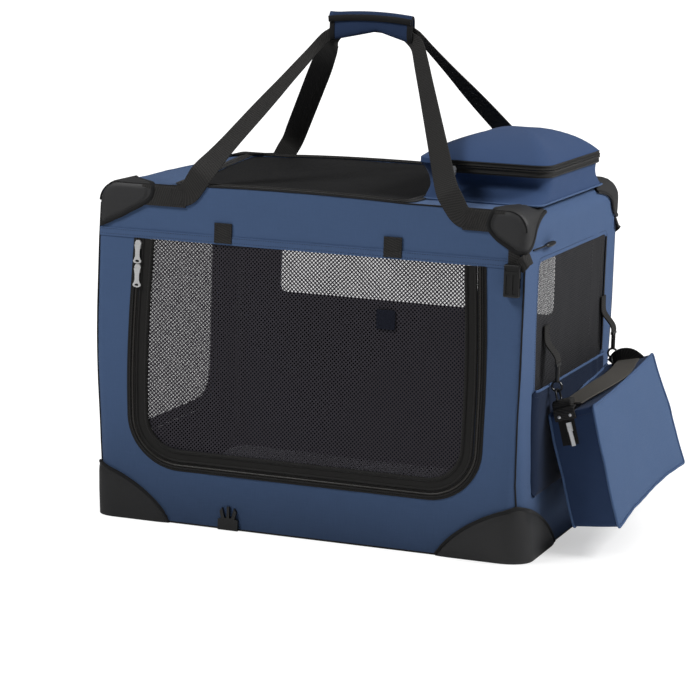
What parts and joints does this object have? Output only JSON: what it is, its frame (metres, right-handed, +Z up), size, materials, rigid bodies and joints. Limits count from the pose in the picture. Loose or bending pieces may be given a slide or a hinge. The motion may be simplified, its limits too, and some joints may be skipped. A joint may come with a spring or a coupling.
{
  "type": "soft pet carrier",
  "caption": "Folding soft-sided pet crate: fabric box on a tube frame with mesh doors and windows, a domed roof pocket, a webbing carry handle, side-release buckles and a clip-on zipped pouch.",
  "frame": {"origin": "on the floor at the middle of the base", "axes": "+X along the length to the end with the pouch, -Y to the long front with the D-shaped door, +Z up"},
  "size_m": [0.85, 0.5462, 0.8081],
  "materials": {
    "fabric": "woven matt",
    "fabric_dark": "matt",
    "mesh": "open mesh",
    "zip": "woven tape",
    "leather": "fine grained",
    "webbing": "woven webbing",
    "plastic": "moulded",
    "silver": "polished",
    "frame": "satin",
    "board": "matt",
    "mat": "fleece"
  },
  "bodies": {
    "base": {"base_hoop": "frame", "base_cover": "fabric_dark", "floor_board": "board", "mat": "mat", "base_protector_front_left": "leather", "base_protector_front_right": "leather", "base_protector_back_left": "leather", "base_protector_back_right": "leather", "front_wall": "fabric", "back_wall": "fabric", "left_wall": "fabric", "right_wall": "fabric", "back_mesh": "mesh", "right_mesh": "mesh", "side_pocket": "fabric", "tie_tab_left": "webbing", "tie_tab_right": "webbing", "front_slider_upper": "silver", "front_buckle_plug": "plastic", "back_buckle_plug": "plastic", "front_snap_hook": "plastic", "rear_snap_hook": "plastic", "front_hook_tab": "webbing", "rear_hook_tab": "webbing", "window_toggle": "plastic"},
    "front_door": {"front_door": "zip", "hook_square": "webbing"},
    "left_door": {"left_door": "zip"},
    "front_slider_lower": {"front_slider_lower": "silver"},
    "front_pull_lower": {"front_pull_lower": "silver"},
    "front_pull_upper": {"front_pull_upper": "silver"},
    "left_slider": {"left_slider": "silver"},
    "left_pull": {"left_pull": "silver"},
    "left_lower_legs": {"front_left_lower_leg": "frame", "back_left_lower_leg": "frame"},
    "left_upper_legs": {"front_left_upper_leg": "frame", "back_left_upper_leg": "frame"},
    "right_lower_legs": {"front_right_lower_leg": "frame", "back_right_lower_leg": "frame"},
    "right_upper_legs": {"front_right_upper_leg": "frame", "back_right_upper_leg": "frame"},
    "roof": {"roof_hoop": "frame", "roof_panel": "fabric", "roof_mesh": "mesh", "pocket_body": "fabric", "front_strap": "webbing", "back_strap": "webbing", "top_protector_front_left": "leather", "top_protector_front_right": "leather", "top_protector_back_left": "leather", "top_protector_back_right": "leather"},
    "pocket_lid": {"pocket_lid": "fabric"},
    "pocket_slider": {"pocket_slider": "silver"},
    "pocket_pull": {"pocket_pull": "silver"},
    "grip": {"grip": "fabric"},
    "front_buckle": {"front_buckle_socket": "plastic"},
    "back_buckle": {"back_buckle_socket": "plastic"},
    "pouch": {"pouch_body": "fabric", "pouch_strap": "webbing", "pouch_slider": "silver"}
  },
  "joints": [
    {"name": "fold", "type": "hinge", "parent": "base", "child": "left_lower_legs", "pos_m": [-0.33, 0, 0.0343], "axis": [0, 1, 0], "range_deg": [0, 84], "deforming": ["front_wall", "back_wall", "left_wall", "right_wall", "back_mesh", "right_mesh", "side_pocket", "tie_tab_left", "tie_tab_right", "front_slider_upper", "front_hook_tab", "rear_hook_tab", "window_toggle", "front_door", "hook_square", "left_door", "front_slider_lower", "front_pull_lower", "front_pull_upper", "left_slider", "left_pull", "base_protector_front_left", "base_protector_front_right", "base_protector_back_left", "base_protector_back_right"]},
    {"name": "left_knee", "type": "hinge", "parent": "left_lower_legs", "child": "left_upper_legs", "pos_m": [-0.33, 0, 0.26615], "axis": [0, 1, 0], "range_deg": [-168, 0]},
    {"name": "roof_hinge", "type": "hinge", "parent": "left_upper_legs", "child": "roof", "pos_m": [-0.33, 0, 0.498], "axis": [0, 1, 0], "range_deg": [0, 84]},
    {"name": "right_leg_hinge", "type": "hinge", "parent": "base", "child": "right_lower_legs", "pos_m": [0.33, 0, 0.0343], "axis": [0, 1, 0], "range_deg": [-84, 0]},
    {"name": "right_knee", "type": "hinge", "parent": "right_lower_legs", "child": "right_upper_legs", "pos_m": [0.33, 0, 0.26615], "axis": [0, 1, 0], "range_deg": [0, 168]},
    {"name": "front_door_hinge", "type": "hinge", "parent": "base", "child": "front_door", "pos_m": [0, -0.2603, 0.456], "axis": [1, 0, 0], "range_deg": [-95, 0]},
    {"name": "left_door_hinge", "type": "hinge", "parent": "base", "child": "left_door", "pos_m": [-0.3503, 0, 0.456], "axis": [0, -1, 0], "range_deg": [-95, 0]},
    {"name": "front_zip_slide", "type": "slide", "parent": "base", "child": "front_slider_lower", "axis": [0, 0, 1], "range_m": [-0.235, 0]},
    {"name": "front_pull_lower_swing", "type": "hinge", "parent": "front_slider_lower", "child": "front_pull_lower", "pos_m": [-0.28155, -0.2648, 0.406], "axis": [1, 0, 0], "range_deg": [-100, 0]},
    {"name": "front_pull_upper_swing", "type": "hinge", "parent": "base", "child": "front_pull_upper", "pos_m": [-0.28155, -0.2648, 0.444], "axis": [1, 0, 0], "range_deg": [-100, 0]},
    {"name": "left_zip_slide", "type": "slide", "parent": "base", "child": "left_slider", "axis": [0, 0, 1], "range_m": [-0.27, 0]},
    {"name": "left_pull_swing", "type": "hinge", "parent": "left_slider", "child": "left_pull", "pos_m": [-0.3548, -0.21755, 0.444], "axis": [0, -1, 0], "range_deg": [-100, 0]},
    {"name": "pocket_lid_hinge", "type": "hinge", "parent": "roof", "child": "pocket_lid", "pos_m": [0.142, 0, 0.5936], "axis": [0, 1, 0], "range_deg": [-50, 0]},
    {"name": "pocket_zip_slide", "type": "slide", "parent": "roof", "child": "pocket_slider", "axis": [-1, 0, 0], "range_m": [-0.11, 0]},
    {"name": "pocket_pull_swing", "type": "hinge", "parent": "pocket_slider", "child": "pocket_pull", "pos_m": [0.204, -0.1758, 0.5857], "axis": [1, 0, 0], "range_deg": [-100, 0]},
    {"name": "handle_drop", "type": "slide", "parent": "roof", "child": "grip", "axis": [0, 0, 1], "range_m": [-0.2, 0], "deforming": ["front_strap", "back_strap"]},
    {"name": "front_buckle_swing", "type": "hinge", "parent": "roof", "child": "front_buckle", "pos_m": [0.333, -0.2627, 0.4622], "axis": [1, 0, 0], "range_deg": [-80, 0]},
    {"name": "back_buckle_swing", "type": "hinge", "parent": "roof", "child": "back_buckle", "pos_m": [0.333, 0.2627, 0.4622], "axis": [-1, 0, 0], "range_deg": [-80, 0]},
    {"name": "pouch_swing", "type": "hinge", "parent": "base", "child": "pouch", "pos_m": [0.372, 0, 0.2535], "axis": [0, 1, 0], "range_deg": [-60, 0]}
  ],
  "couplings": [
    {"joint": "left_knee", "follows": "fold", "ratio": -2},
    {"joint": "roof_hinge", "follows": "fold", "ratio": 1},
    {"joint": "right_leg_hinge", "follows": "fold", "ratio": -1},
    {"joint": "right_knee", "follows": "fold", "ratio": 2}
  ]
}
